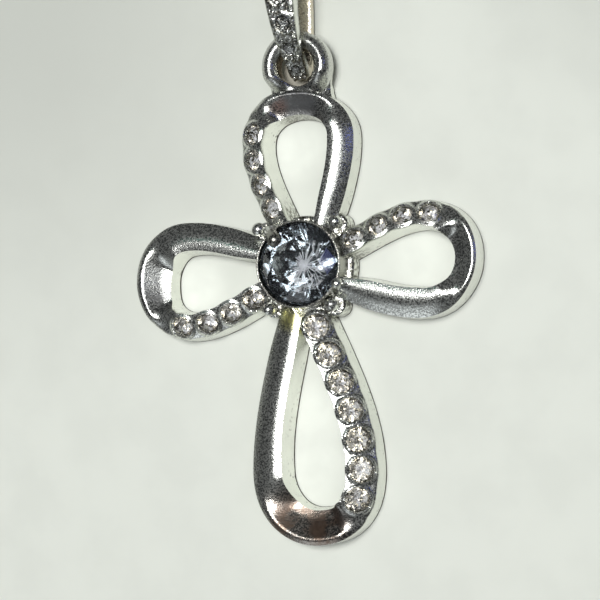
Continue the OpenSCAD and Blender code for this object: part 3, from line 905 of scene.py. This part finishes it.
class Wiring:
    """Short calls for the nodes of one tree."""

    def __init__(self, tree):
        self.tree = tree

    def node(self, kind, **values):
        node = self.tree.nodes.new("ShaderNode" + kind)
        for key, value in values.items():
            setattr(node, key, value)
        return node

    def put(self, value, socket):
        if isinstance(value, bpy.types.NodeSocket):
            self.tree.links.new(value, socket)
        else:
            socket.default_value = value

    def fill(self, sockets, values):
        for name, value in values.items():
            self.put(value, sockets[name])

    def fed(self, node, *values):
        """The outputs of a node whose first sockets get some values."""
        for value, socket in zip(values, node.inputs):
            self.put(value, socket)
        return node.outputs

    def math(self, operation, *values):
        return self.fed(self.node("Math", operation=operation), *values)[0]

    def times(self, total, *others):
        for other in others:
            total = self.math("MULTIPLY", total, other)
        return total

    def vector(self, operation, *values):
        return self.fed(self.node("VectorMath", operation=operation), *values)

    def dot(self, a, b):
        return self.vector("DOT_PRODUCT", a, b)["Value"]

    def flat(self, position):
        """The same places at height 0."""
        return self.vector("MULTIPLY", position, (1, 1, 0))["Vector"]

    def axes(self, vector):
        return self.fed(self.node("SeparateXYZ"), vector)

    def span(self, value, low, high, to_low=0.0, to_high=1.0, smooth=True):
        node = self.node("MapRange", interpolation_type="SMOOTHSTEP" if smooth else "LINEAR")
        return self.fed(node, value, low, high, to_low, to_high)["Result"]

    def noise(self, vector, scale, detail=2.0, roughness=0.5):
        node = self.node("TexNoise")
        self.fill(node.inputs, {"Vector": vector, "Scale": scale, "Detail": detail, "Roughness": roughness})
        return node.outputs["Fac"]

    def wobble(self, position, scale, size):
        """Noise round 0."""
        return self.times(self.math("SUBTRACT", self.noise(position, scale), 0.5), size)

    def blend(self, share, a, b, kind="MIX"):
        node = self.node("Mix", data_type="RGBA", blend_type=kind)
        self.fill(node.inputs, {0: share, 6: a, 7: b})
        return node.outputs[2]

    def near(self, position, middle, inner, outer, unit=MM):
        """1 within a radius of a point and 0 beyond a larger one, both in mm."""
        gap = self.vector("DISTANCE", position, tuple(c * unit for c in (*middle, 0)[:3]))["Value"]
        return self.span(gap, inner * unit, outer * unit, 1.0, 0.0)

    def bump(self, height, distance, sockets):
        node = self.node("Bump")
        self.fill(node.inputs, {"Distance": distance, "Strength": 1, "Height": height})
        self.put(node.outputs["Normal"], sockets["Normal"])

    def placed(self, group, position):
        node = self.node("Group", node_tree=group)
        self.put(position, node.inputs["Position"])
        return node


def new_material(name):
    """A material, its wiring and its shader's sockets."""
    material = bpy.data.materials.new(name)
    material.use_nodes = True
    return material, Wiring(material.node_tree), material.node_tree.nodes["Principled BSDF"].inputs


def shared_group(name, inputs, outputs, wire):
    """A node group that several materials place, wired once. It has a position and some plain values."""
    group = bpy.data.node_groups.get(name)
    if group is None:
        group = bpy.data.node_groups.new(name, "ShaderNodeTree")
        group.interface.new_socket(name="Position", in_out="INPUT", socket_type="NodeSocketVector")
        for label, value in inputs:
            socket = group.interface.new_socket(name=label, in_out="INPUT", socket_type="NodeSocketFloat")
            socket.default_value = value
        for label in outputs:
            group.interface.new_socket(name=label, in_out="OUTPUT", socket_type="NodeSocketFloat")
        source = group.nodes.new("NodeGroupInput").outputs
        sink = group.nodes.new("NodeGroupOutput").inputs
        wire(Wiring(group), source, sink)
    return group


def tinted(colour, level=1):
    return tuple(c * level for c in colour) + (1,)


# Cast metal. Places and radii are in mm, spans are of noise

SPECK_SCALE = 9000
SPECK_SPAN = (0.44, 0.58)
CLOUD_SCALE = 900
CLOUD_SPAN = (0.3, 0.75)
CLOUD_SHARE = 0.3
CLOUD_TINT = (0.58, 0.59, 0.55, 1)
COARSE_SHARE = 0.42
PIT_SPAN = (0.42, 0.56)
PIT_SHARE = 0.8
PEBBLE_HEIGHT = 7
TOP_SPAN = (0.15, 0.45)
POLISH = 0.15
WORN_SHARE = 0.75
WORN_TINT = (0.28, 0.29, 0.28, 1)
WORN_ROUGH = 0.31
WORN_METAL = 0.8
DULL_ROUGH = 0.38
GRAIN_HEIGHT = 0.016 * MM
SPOT_SPAN = (0.3, 0.6)
SPOT_LEAST = 0.45
# A spot's x, y and z, its inner and outer radius, and its strength
# Worn plating at the lower bend, spread wide as painted shade that dims the bend's highlight
WORN_SHADE_SPOTS = (
    (-1.6, -15.6, 1.4, 0.6, 3.0, 0.9),
    (0.4, -16.3, 1.8, 0.5, 2.4, 0.9),
)
# Painted shade on the four bends, which dims their highlights; these spots also make the bends rougher
BEND_SHADE_SPOTS = (
    (0.3, 10.0, 2.0, 0.7, 2.0, 0.9),
    (-10.0, -0.9, 1.8, 0.5, 2.0, 0.8),
    (0.8, -15.8, 1.8, 0.6, 2.4, 0.8),
    (9.5, 0.3, 2.0, 0.4, 1.3, 0.7),
)
ROOT_ZONE = ((0, 0), 3.5, 4.5)
# Painted shadow over the cup, seen as a dark ring on its rim round the centre stone; no pebbles are laid
# there
RIM_SHADE_ZONE = ((0, 0), 2.72, 2.84)
RIM_SHADE_SHARE = 0.6
ROOT_TOP = (1.6, 1.9)
RING_ZONE = ((0.22, 12.4), 2.1, 2.4)
RING_SHARE = 0.4
RING_TINT = (0.42, 0.42, 0.42, 1)
RING_ROUGH = (0.4, 0.85)
RING_PITS = (0.5, 0.6)
# Painted shade on the wall of the ring's hole
HOLE_SHADE_ZONE = ((0.22, 12.4), 1.2, 1.3)
HOLE_SHADE_SHARE = 0.8
HOLE_SHADE_TINT = (0.16, 0.13, 0.09, 1)
# Painted shade on the upper bend's faces that turn towards the cross's centre, broken up by specks
INNER_SHADE_ZONE = ((0.1, 9.9), 1.0, 1.9)
INNER_SHADE_FACING = (-0.85, -0.3, 0.9, 0)
INNER_SHADE_SPECKS = (0.42, 0.62, 1, 0.35)
RED_ZONE = ((-1.1, 9.9, 2.0), 0.2, 0.9)
RED_CLOUDS = (0.4, 0.55, 0, 0.5)
STAIN_ZONE = ((-0.75, -3.35, 1.5), 0.5, 1.35)
STAIN_SHARE = 0.8
STAIN_ROUGH = 0.4
FRONT_FROM = (1.0, 1.8)
FRONT_SIDEWAYS = (0.5, 0.9, 1, 0)
FRONT_UPWARDS = (0, 0.5)
LEG_TINT = (0.8, 0.7, 0.55, 1)
LEG_SCALE = 1500
LEG_SPAN = (0.3, 0.6, 0.45, 0.8)
# The painted contact shadow along the foot of the walls: its height, wobble and softness; the reach of the
# dirt specks above the foot; and the extra roughness along the shadow
FOOT_SHADOW_LINE = 0.17 * MM
FOOT_WOBBLE = 0.12 * MM
FOOT_WOBBLE_SCALE = 1600
FOOT_SOFT = 0.05 * MM
FOOT_REACH = (0.2 * MM, 1.7 * MM)
FOOT_ROUGH = 0.4
DIRT_SCALE = 5200
DIRT_SPAN = (0.6, 0.68)
DIRT_SHARE = 0.85
DIRT_HIGH_SHARE = 0.1
DIRT_PATCH_SCALE = 700
DIRT_PATCH_SPAN = (0.42, 0.6)


def wire_grain(w, source, sink):
    """Fine grain of cast and tumbled metal: specks, their height, pits and slow clouds of wear."""
    position, speck_scale, pebble = source["Position"], source["Speck scale"], source["Pebble"]
    specks = w.noise(position, speck_scale, 3, 0.6)
    coarse = w.noise(position, w.times(speck_scale, COARSE_SHARE), 2, 0.55)
    w.fill(sink, {
        "Specks": specks,
        "Clouds": w.noise(position, source["Cloud scale"], 3, 0.55),
        "Pits": w.times(w.span(coarse, *PIT_SPAN, 1, 0), pebble),
        "Height": w.math("ADD", specks, w.times(coarse, pebble, PEBBLE_HEIGHT)),
    })


def wire_foot(w, source, sink):
    """Painted contact shadow along the foot of the walls, and specks of dirt near it, both broken up by
    noise.
    """
    position = source["Position"]
    high = w.axes(position)["Z"]
    wobble = w.wobble(position, FOOT_WOBBLE_SCALE, FOOT_WOBBLE)
    over = w.math("SUBTRACT", high, w.math("ADD", source["Shadow line height"], wobble))
    specks = w.span(w.noise(position, DIRT_SCALE), *DIRT_SPAN)
    low = w.span(high, *FOOT_REACH, 1.0, DIRT_HIGH_SHARE)
    patch = w.span(w.noise(position, DIRT_PATCH_SCALE, 1), *DIRT_PATCH_SPAN)
    w.fill(sink, {
        "Line": w.span(over, 0.0, FOOT_SOFT, 1.0, 0.0),
        "Specks": w.times(specks, low, w.times(patch, source["Speck amount"])),
    })


def spots(w, position, rows, clouds):
    """The strongest of some soft spots."""
    total = None
    for x, y, z, inner, outer, strength in rows:
        spot = w.near(position, (x, y, z), inner, outer)
        spot = w.times(spot, w.span(clouds, *SPOT_SPAN, SPOT_LEAST * strength, strength))
        total = spot if total is None else w.math("MAXIMUM", total, spot)
    return total


def cross_wear_and_shade(w, finishes, position, way, grain, top, base, rough):
    """Pebbled roots, the dull ring, painted shade on the bends, round the cup's rim, in the ring's hole and
    on the upper bend's inner faces, worn plating at the lower bend that is partly painted shade, the red
    wear and the old stain.
    """
    specks, clouds = grain.outputs["Specks"], grain.outputs["Clouds"]
    pits_and_shade = tinted(finishes.pits_and_shade)
    flat = w.flat(position)
    rim = w.near(flat, *RIM_SHADE_ZONE)
    low = w.span(w.axes(position)["Z"], ROOT_TOP[0] * MM, ROOT_TOP[1] * MM, 1, 0)
    w.put(w.times(w.math("SUBTRACT", w.near(flat, *ROOT_ZONE), rim), low), grain.inputs["Pebble"])
    ring = w.times(w.near(flat, *RING_ZONE), RING_SHARE)
    dull = w.times(spots(w, position, BEND_SHADE_SPOTS, clouds), top)
    warm = w.times(spots(w, position, WORN_SHADE_SPOTS, clouds), top)
    inner_shade = w.times(w.near(flat, *INNER_SHADE_ZONE), w.span(way["Y"], *INNER_SHADE_FACING))
    inner_shade = w.times(inner_shade, w.span(specks, *INNER_SHADE_SPECKS))
    stain = w.near(position, *STAIN_ZONE)
    # Painted shade goes on the ring's hole, the cup's rim, the bends and the upper bend's inner faces; the
    # lower bend's worn plating is partly painted shade too
    for share, tint in (
        (ring, RING_TINT),
        (w.times(w.near(flat, *HOLE_SHADE_ZONE), HOLE_SHADE_SHARE), HOLE_SHADE_TINT),
        (w.times(rim, RIM_SHADE_SHARE), pits_and_shade),
        (dull, tinted(finishes.dull)),
        (warm, tinted(finishes.warm)),
        (w.times(w.span(specks, *RING_PITS), ring), pits_and_shade),
        (inner_shade, pits_and_shade),
        (w.times(w.near(position, *RED_ZONE), w.span(clouds, *RED_CLOUDS)), tinted(finishes.red_wear)),
        (w.times(stain, STAIN_SHARE), tinted(finishes.stain)),
    ):
        base = w.blend(share, base, tint)
    for level in (
        w.times(w.math("MAXIMUM", dull, warm), DULL_ROUGH),
        w.times(ring, w.span(specks, *SPECK_SPAN, *RING_ROUGH)),
        w.times(stain, STAIN_ROUGH),
    ):
        rough = w.math("MAXIMUM", rough, level)
    return base, rough


def bail_wear(w, finishes, position, way, grain, top, base, rough):
    """A pebbled front between the stones and a plain warm leg behind it."""
    front = w.span(w.axes(position)["Z"], FRONT_FROM[0] * MM, FRONT_FROM[1] * MM)
    sideways = w.span(w.math("ABSOLUTE", way["X"]), *FRONT_SIDEWAYS)
    w.put(w.times(sideways, w.span(way["Z"], *FRONT_UPWARDS), front), grain.inputs["Pebble"])
    leg = w.span(w.noise(position, LEG_SCALE), *LEG_SPAN)
    leg = w.times(leg, w.math("SUBTRACT", 1, front))
    return w.blend(leg, base, LEG_TINT), rough


def cast_metal(name, finishes, wear):
    material, w, sockets = new_material(name)
    coords = w.node("TexCoord").outputs
    position = coords["Object"]
    grain = w.placed(shared_group("Cast grain", (
        ("Speck scale", SPECK_SCALE), ("Cloud scale", CLOUD_SCALE), ("Pebble", 0),
    ), ("Specks", "Clouds", "Pits", "Height"), wire_grain), position)
    foot = w.placed(shared_group("Foot shadow and dirt", (
        ("Shadow line height", FOOT_SHADOW_LINE), ("Speck amount", DIRT_SHARE),
    ), ("Line", "Specks"), wire_foot), position)
    way = w.axes(coords["Normal"])
    top = w.span(way["Z"], *TOP_SPAN)
    clouds = w.span(grain.outputs["Clouds"], *CLOUD_SPAN, 0, CLOUD_SHARE)
    worn = w.times(w.span(grain.outputs["Specks"], *SPECK_SPAN), top)
    base = w.blend(clouds, tinted(finishes.metal), CLOUD_TINT)
    base = w.blend(w.times(worn, WORN_SHARE), base, WORN_TINT)
    rough = w.span(worn, 0, 1, POLISH, WORN_ROUGH, smooth=False)
    base, rough = wear(w, finishes, position, way, grain, top, base, rough)
    base = w.blend(w.times(grain.outputs["Pits"], PIT_SHARE), base, tinted(finishes.pits_and_shade))
    # Dirt specks near the foot, and the painted contact shadow along it, in the same dark colour
    for mask in ("Specks", "Line"):
        base = w.blend(foot.outputs[mask], base, tinted(finishes.dirt_and_shadow))
    w.fill(sockets, {
        "Base Color": base,
        "Metallic": w.span(worn, 0, 1, 1, WORN_METAL, smooth=False),
        "Roughness": w.math("ADD", rough, w.times(foot.outputs["Line"], FOOT_ROUGH)),
    })
    w.bump(grain.outputs["Height"], GRAIN_HEIGHT, sockets)
    return material


# Crystal and its foil

CRYSTAL_IOR = 1.56
SMALL_CRINKLE = (4200, 0.013)
CENTRE_CRINKLE = (2600, 0.02)
FOLD_SPAN = (0.35, 0.6)
FOLD_DARK = 0.6
FOIL_METAL = 0.84
STAR_METAL = 0.1
FOIL_ROUGH = 0.06
# The painted highlights in the foils: a broken white middle in each small stone and a white star in the
# centre stone
SMALL_STAR = ((0.5, 0.5, 0), 0.16, 0.4)
SMALL_STAR_SCALE = 5200
SMALL_STAR_SPAN = (0.42, 0.56)
PAINTED_STAR_TINT = (0.97, 0.98, 1, 1)
STAR_CORE = 0.32 * MM
STAR_REACH = 1.05 * MM
STAR_ARC = 1.05 * MM
STAR_RAGGED = 0.9 * MM
STAR_RAGGED_SCALE = 4500
STAR_LEAN = (0.9, -0.43, 0)
STAR_LEAN_SPAN = (-0.9, 0.5, 0.35, 1)
STAR_EDGE = (0.8, 1.15, 1, 0)
RAY_SCALE = 8
RAY_SPAN = (0.45, 0.57)
ARC_WAY = (0.1, -1, 0)
ARC_SPAN = (0.55, 0.8)
ARC_HALF_W = (0.08 * MM, 0.2 * MM)


def crystal(name, tint):
    material, w, sockets = new_material(name)
    w.fill(sockets, {
        "Base Color": tinted(tint), "Roughness": 0, "IOR": CRYSTAL_IOR, "Transmission Weight": 1,
    })
    return material


def small_painted_glint(w, coords):
    """Broken white middle of a small stone's foil, a painted highlight, from 0 to 1."""
    middle = w.near(w.flat(coords["Generated"]), *SMALL_STAR, unit=1)
    return w.times(middle, w.span(w.noise(coords["Object"], SMALL_STAR_SCALE, 1), *SMALL_STAR_SPAN))


def centre_painted_star(w, coords):
    """Painted highlight: a white star with broken rays, longer to the lower right, and an arc below it,
    from 0 to 1.
    """
    position = coords["Object"]
    flat = w.flat(position)
    way = w.vector("NORMALIZE", flat)["Vector"]
    ragged = w.wobble(position, STAR_RAGGED_SCALE, STAR_RAGGED)
    far = w.math("ADD", w.vector("LENGTH", flat)["Value"], ragged)
    side = w.span(w.dot(way, STAR_LEAN), *STAR_LEAN_SPAN)
    reach = w.times(w.span(w.noise(way, RAY_SCALE, 1), *RAY_SPAN), side, STAR_REACH)
    star = w.span(w.math("DIVIDE", far, w.math("ADD", reach, STAR_CORE)), *STAR_EDGE)
    off = w.math("ABSOLUTE", w.math("SUBTRACT", far, STAR_ARC))
    below = w.span(w.dot(way, ARC_WAY), *ARC_SPAN)
    return w.math("MAXIMUM", star, w.times(w.span(off, *ARC_HALF_W, 1, 0), below))


def foil(name, tint, crinkle, star):
    """Mirror foil behind a stone: crinkled, so that it breaks the light, and painted white in its star, a
    painted highlight.
    """
    material, w, sockets = new_material(name)
    coords = w.node("TexCoord").outputs
    # Mask of the painted highlight
    white = star(w, coords)
    scale, height = crinkle
    folds = w.noise(coords["Object"], scale)
    base = w.blend(w.span(folds, *FOLD_SPAN), tinted(tint, FOLD_DARK), tinted(tint))
    w.fill(sockets, {
        "Base Color": w.blend(white, base, PAINTED_STAR_TINT),
        "Metallic": w.span(white, 0, 1, FOIL_METAL, STAR_METAL, smooth=False),
        "Roughness": FOIL_ROUGH,
    })
    w.bump(folds, height / scale, sockets)
    return material


# Paper and room. Places and radii on the paper are in mm, angles in the room in degrees

# Painted shade in the paper's corners: each corner's middle, inner and outer radius, and level
PAPER_CORNER_SHADE = (((-20, 20), 2, 32, 0.77), ((21, 19), 1, 15, 0.85))
# Each glow's x, y and radius
PAPER_BRIGHT = ((-0.6, 7.2, 1.0), (6.8, 0.2, 1.0), (-7.6, -0.7, 1.0), (-0.6, -9.2, 1.1), (-0.6, -12.4, 1.1))
PAPER_SHADE = ((-0.25, 12.15), 0.9, 1.5)
PAPER_SHADE_SHARE = 0.7
PAPER_SHADE_TINT = (0.3, 0.26, 0.2, 1)
PAPER_ROUGH = 0.9
PAPER_SHINE = 0.1
GLOW_REACH = (0.6, 2.5)
GLOW_LEVEL = 1.16
GLOW_SCALE = 700
GLOW_SPAN = (0.3, 0.6, 0.75, 1)
MOTTLE_SCALE = 260
MOTTLE_SPAN = (0.35, 0.7)
MOTTLE_SHARE = 0.15
MOTTLE_LEVEL = 0.72
PAPER_HALF = 400 * MM
PAPER_DROP = 0.002 * MM
# A patch's direction, its inner and outer half angle, its tint and its level
ROOM_PATCHES = (
    ((0.81, 0.12, 0.58), 1.5, 6, (0.3, 0.36, 1), 1.8),
    ((-0.32, -0.86, 0.38), 10, 22, (0.9, 0.95, 1), 1.1),
    ((0.43, -0.03, 0.9), 3, 8, (0.95, 0.97, 1), 5),
    ((-0.28, -0.03, 1), 4, 14, (0.95, 0.97, 1), 0.14),
    ((-0.25, 0.42, 1), 2, 8, (0.5, 1, 0.9), 0.5),
)
ROOM_TINT = (0.9, 0.95, 1)
KEY_WAY = (0.06, 0.06, 1)
FRAME_MM = 36


def paper(finishes):
    """Plain paper, with painted shade in its upper corners, painted light inside the loops and a painted
    shadow below the ring.
    """
    material, w, sockets = new_material("pale paper")
    position = w.node("TexCoord").outputs["Object"]
    base = tinted(finishes.paper)
    for middle, inner, outer, level in PAPER_CORNER_SHADE:
        base = w.blend(w.near(position, middle, inner, outer), base, tinted(finishes.paper, level))
    for x, y, r in PAPER_BRIGHT:
        glow = w.near(position, (x, y), r * GLOW_REACH[0], r * GLOW_REACH[1])
        glow = w.times(glow, w.span(w.noise(position, GLOW_SCALE), *GLOW_SPAN))
        base = w.blend(glow, base, tinted(finishes.paper, GLOW_LEVEL))
    mottle = w.times(w.span(w.noise(position, MOTTLE_SCALE, 3), *MOTTLE_SPAN), MOTTLE_SHARE)
    base = w.blend(mottle, base, tinted(finishes.paper, MOTTLE_LEVEL))
    shade = w.times(w.near(position, *PAPER_SHADE), PAPER_SHADE_SHARE)
    base = w.blend(shade, base, PAPER_SHADE_TINT)
    w.fill(sockets, {"Base Color": base, "Roughness": PAPER_ROUGH, "Specular IOR Level": PAPER_SHINE})
    return material


def dim_room(level):
    """A dark grey room with tinted patches, which the metal mirrors."""
    world = bpy.data.worlds.new("dim room")
    world.use_nodes = True
    w = Wiring(world.node_tree)
    way = w.node("TexCoord").outputs["Generated"]
    total = tinted(ROOM_TINT, level)
    for direction, inner, outer, tint, bright in ROOM_PATCHES:
        dot = w.dot(way, Vector(direction).normalized())
        patch = w.span(dot, math.cos(math.radians(outer)), math.cos(math.radians(inner)))
        total = w.blend(1, total, w.blend(patch, (0, 0, 0, 1), tinted(tint, bright)), "ADD")
    w.fill(world.node_tree.nodes["Background"].inputs, {"Color": total, "Strength": 1})
    return world


# Operators

class PENDANT_OT_casting(bpy.types.Operator):
    """Build the cast cross: loops, cup, corner balls, claws and ring"""

    bl_idname = "pendant.casting"
    bl_label = "Build the casting"

    def execute(self, context):
        s = context.scene.pendant_casting
        stones = context.scene.pendant_stones
        metal = Metal()
        for arm in arm_table(s, stones):
            loop = Loop(s, stones, arm)
            metal.swept(list(loop.rings(loop.stations())))
        add_cup(metal, s, stones)
        for ball in named(BALL_COLUMNS, BALLS):
            add_corner(metal, s, stones, ball)
        for claw in named(CLAW_COLUMNS, CLAWS):
            add_claw(metal, s, stones, claw)
        add_ring(metal, s)
        for side in (1, -1):
            add_neck(metal, s, side)
        material = cast_metal("cast white metal", context.scene.pendant_finishes, cross_wear_and_shade)
        dressed(metal.built("cast_cross", material), "cross_casting")
        return {"FINISHED"}


class PENDANT_OT_bail(bpy.types.Operator):
    """Build the bail's band with its seats and grains"""

    bl_idname = "pendant.bail"
    bl_label = "Build the bail"

    def execute(self, context):
        scene = context.scene
        bail = Bail(scene.pendant_bail, scene.pendant_casting)
        metal = Metal()
        metal.swept(list(bail.rings(scene.pendant_stones)), closed=True)
        material = cast_metal("bail white metal", scene.pendant_finishes, bail_wear)
        dressed(metal.built("bail_band", material), "bail")
        return {"FINISHED"}


class PENDANT_OT_stones(bpy.types.Operator):
    """Cut and set the centre stone and all the small stones"""

    bl_idname = "pendant.stones"
    bl_label = "Set the stones"

    def execute(self, context):
        scene = context.scene
        s, stones, finishes = scene.pendant_casting, scene.pendant_stones, scene.pendant_finishes
        small_back = foil("small foil", finishes.foil, SMALL_CRINKLE, small_painted_glint)
        small = (crystal("small crystal", finishes.crystal), small_back)
        centre_back = foil("centre foil", finishes.centre_foil, CENTRE_CRINKLE, centre_painted_star)
        large = (crystal("centre crystal", finishes.centre), centre_back)
        place = Matrix.Translation((0, 0, s.cup_h - RIM_DROP))
        set_stone("centre_stone", stones.centre_d, place, large, pavilion=CENTRE_PAVILION)
        for arm, arm_name in zip(arm_table(s, stones), ARM_NAMES):
            loop = Loop(s, stones, arm)
            for i in range(arm["stones"]):
                set_stone(f"stone_{arm_name}_{i + 1}", arm["stone d"], loop.stone_place(i), small,
                          ARM_SPIN * (i + 1))
        bail = Bail(scene.pendant_bail, s)
        for i in range(BAIL_STONES):
            place = bail.place(bail.stone_way(i), stones.sink / 2)
            set_stone(f"bail_stone_{i + 1}", bail.stone_d(i), place, small, BAIL_SPIN * i,
                      BAIL_BACK)
        return {"FINISHED"}


class PENDANT_OT_stage(bpy.types.Operator):
    """Lay the paper, hang the light and place the camera"""

    bl_idname = "pendant.stage"
    bl_label = "Set the stage"

    def execute(self, context):
        scene = context.scene
        stage = scene.pendant_stage
        mesh = bpy.data.meshes.new("paper_sheet")
        corners = [(x * PAPER_HALF, y * PAPER_HALF, 0) for x, y in ((-1, -1), (1, -1), (1, 1), (-1, 1))]
        mesh.from_pydata(corners, [], [(0, 1, 2, 3)])
        mesh.materials.append(paper(scene.pendant_finishes))
        sheet = linked("paper_sheet", mesh)
        sheet.location.z = -PAPER_DROP

        a, b, g = (math.radians(v) for v in (stage.turn, stage.dip, stage.roll))
        roll = Matrix(((math.cos(g), math.sin(g), 0), (-math.sin(g), math.cos(g), 0), (0, 0, 1)))
        back = Vector((math.sin(a) * math.cos(b), -math.sin(b), math.cos(a) * math.cos(b)))
        right = Vector((math.cos(a), 0, -math.sin(a)))
        axes = [roll @ v for v in (right, back.cross(right), back)]
        camera = bpy.data.cameras.new("camera")
        camera.sensor_width = FRAME_MM
        camera.lens = stage.lens
        camera.shift_x = stage.shift_x
        camera.shift_y = stage.shift_y
        camera.clip_start = MM
        scene.camera = linked("camera", camera)
        turned = Matrix(axes).transposed().to_4x4()
        scene.camera.matrix_world = Matrix.Translation(axes[2] * stage.distance) @ turned

        key = bpy.data.lights.new("key", "AREA")
        key.shape = "DISK"
        key.size = stage.key_size
        key.energy = stage.key_power
        lamp = linked("key", key)
        way = Vector(KEY_WAY).normalized()
        lamp.location = way * stage.key_distance
        lamp.rotation_euler = way.to_track_quat("Z", "Y").to_euler()

        scene.world = dim_room(stage.world_level)
        scene.view_settings.view_transform = "Standard"
        return {"FINISHED"}


class PENDANT_PT_panel(bpy.types.Panel):
    bl_idname = "PENDANT_PT_panel"
    bl_label = "Cross pendant"
    bl_space_type = "VIEW_3D"
    bl_region_type = "UI"
    bl_category = "Pendant"

    def draw(self, context):
        for operator in OPERATORS:
            self.layout.operator(operator.bl_idname)
        for name in GROUPS:
            group = getattr(context.scene, name)
            box = self.layout.box()
            for prop in group.bl_rna.properties:
                if prop.identifier not in ("rna_type", "name"):
                    box.prop(group, prop.identifier)


OPERATORS = (PENDANT_OT_casting, PENDANT_OT_bail, PENDANT_OT_stones, PENDANT_OT_stage)
GROUPS = {
    "pendant_casting": CastingSizes,
    "pendant_bail": BailSizes,
    "pendant_stones": StoneSizes,
    "pendant_finishes": Finishes,
    "pendant_stage": StageSettings,
}


def register():
    for name, group in GROUPS.items():
        bpy.utils.register_class(group)
        setattr(bpy.types.Scene, name, PointerProperty(type=group))
    for operator in OPERATORS:
        bpy.utils.register_class(operator)
    bpy.utils.register_class(PENDANT_PT_panel)


def unregister():
    bpy.utils.unregister_class(PENDANT_PT_panel)
    for operator in reversed(OPERATORS):
        bpy.utils.unregister_class(operator)
    for name, group in reversed(GROUPS.items()):
        delattr(bpy.types.Scene, name)
        bpy.utils.unregister_class(group)


def main():
    register()
    bpy.ops.pendant.casting()
    bpy.ops.pendant.bail()
    bpy.ops.pendant.stones()
    bpy.ops.pendant.stage()


if __name__ == "__main__":
    main()
